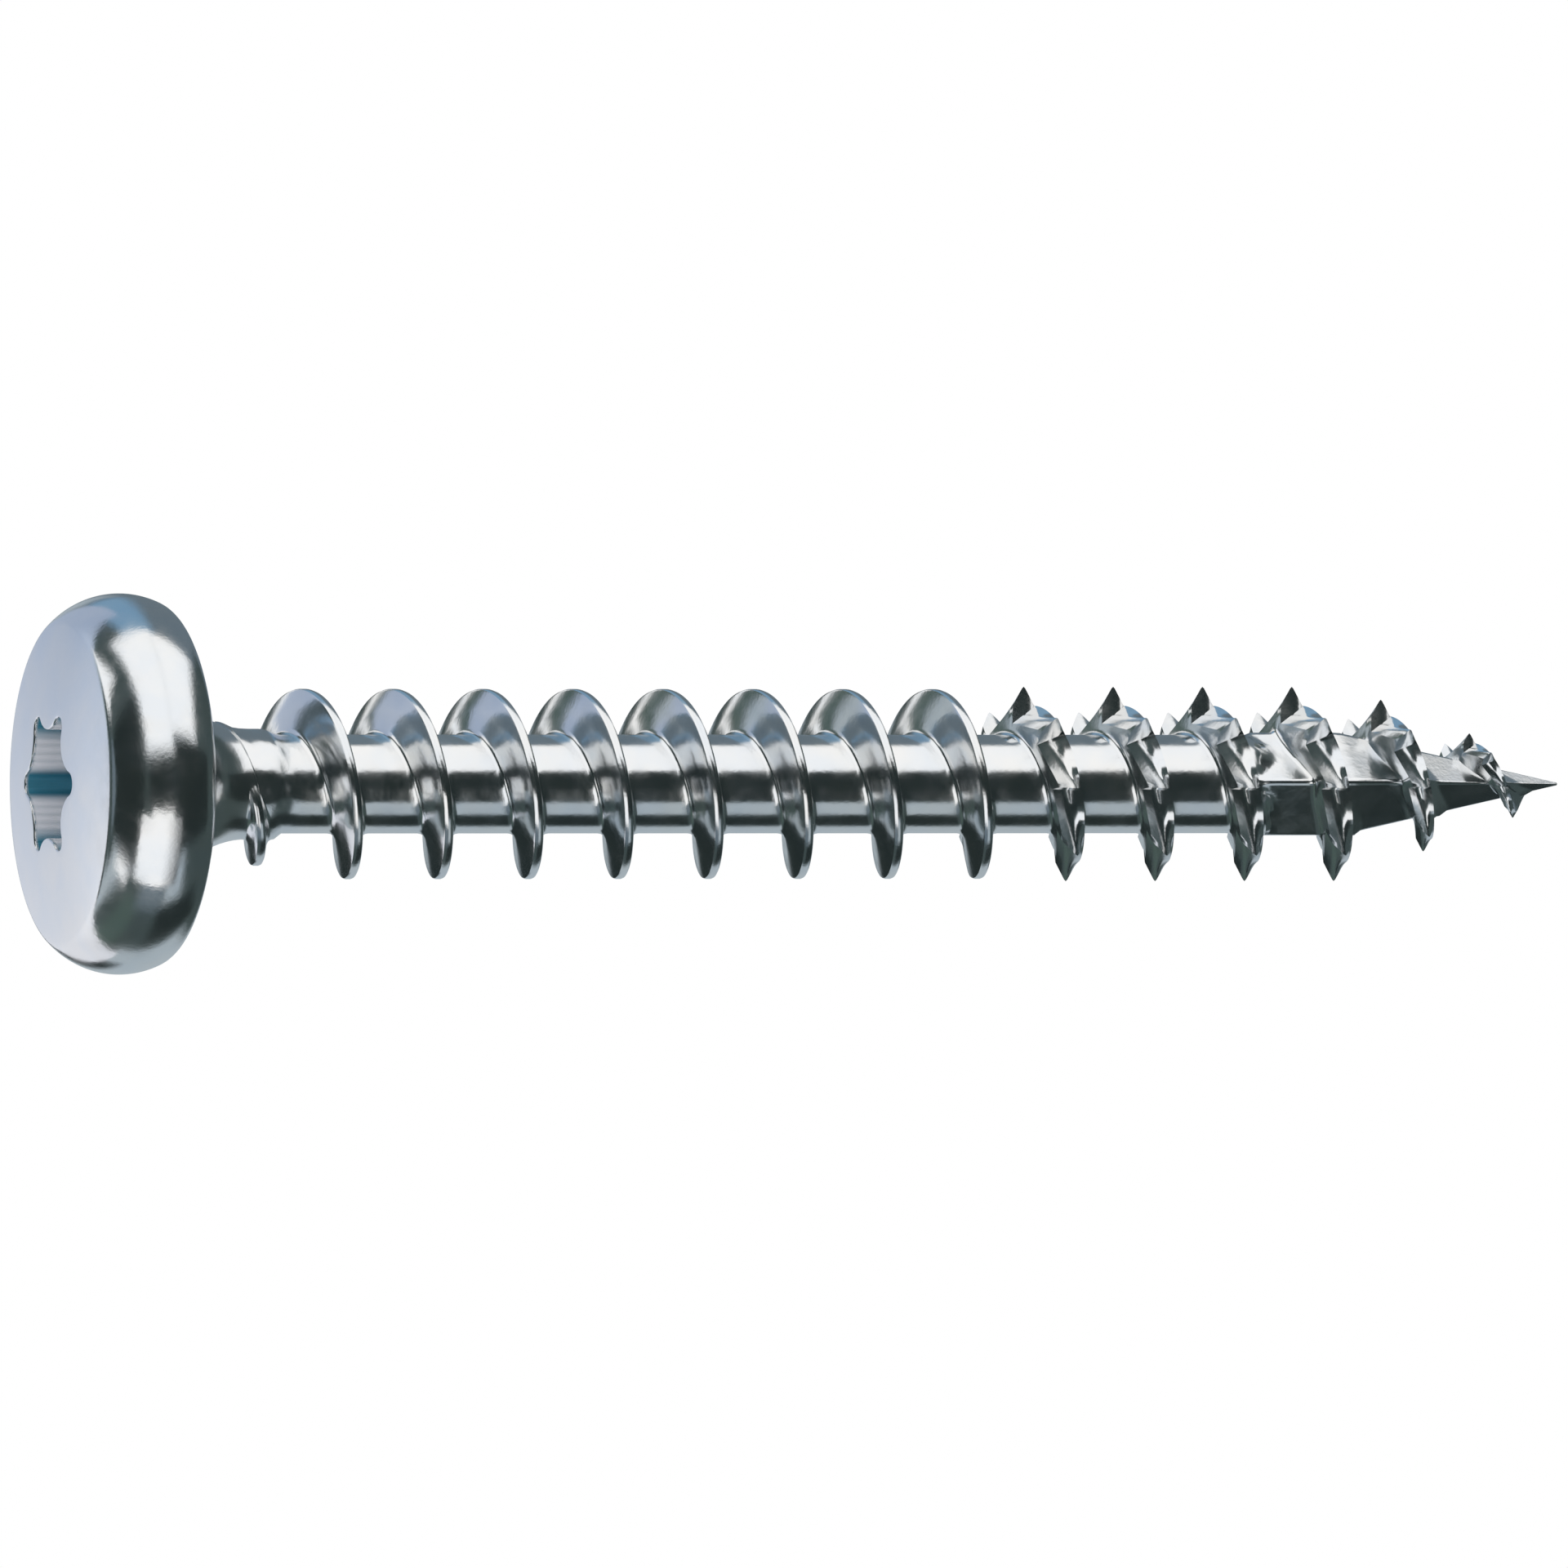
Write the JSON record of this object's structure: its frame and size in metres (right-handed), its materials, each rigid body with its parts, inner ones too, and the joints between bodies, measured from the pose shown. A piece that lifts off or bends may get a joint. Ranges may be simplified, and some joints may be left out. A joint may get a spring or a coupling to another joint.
{
  "type": "pan head screw",
  "caption": "Pan head wood screw with a six-lobe recess, coarse thread that turns serrated towards a four-sided cutting point.",
  "frame": {"origin": "on the screw's axis, at the level of the recess mouth that the head stands on", "axes": "+Z along the screw's axis, from the drive face to the point; +Y lies along one pair of recess lobes"},
  "size_m": [0.01, 0.01, 0.0421],
  "materials": {
    "zinc_plated_steel": "bright zinc plating over rolled steel, slightly blue"
  },
  "bodies": {
    "root": {"pan_head_screw": "zinc_plated_steel"}
  },
  "joints": []
}
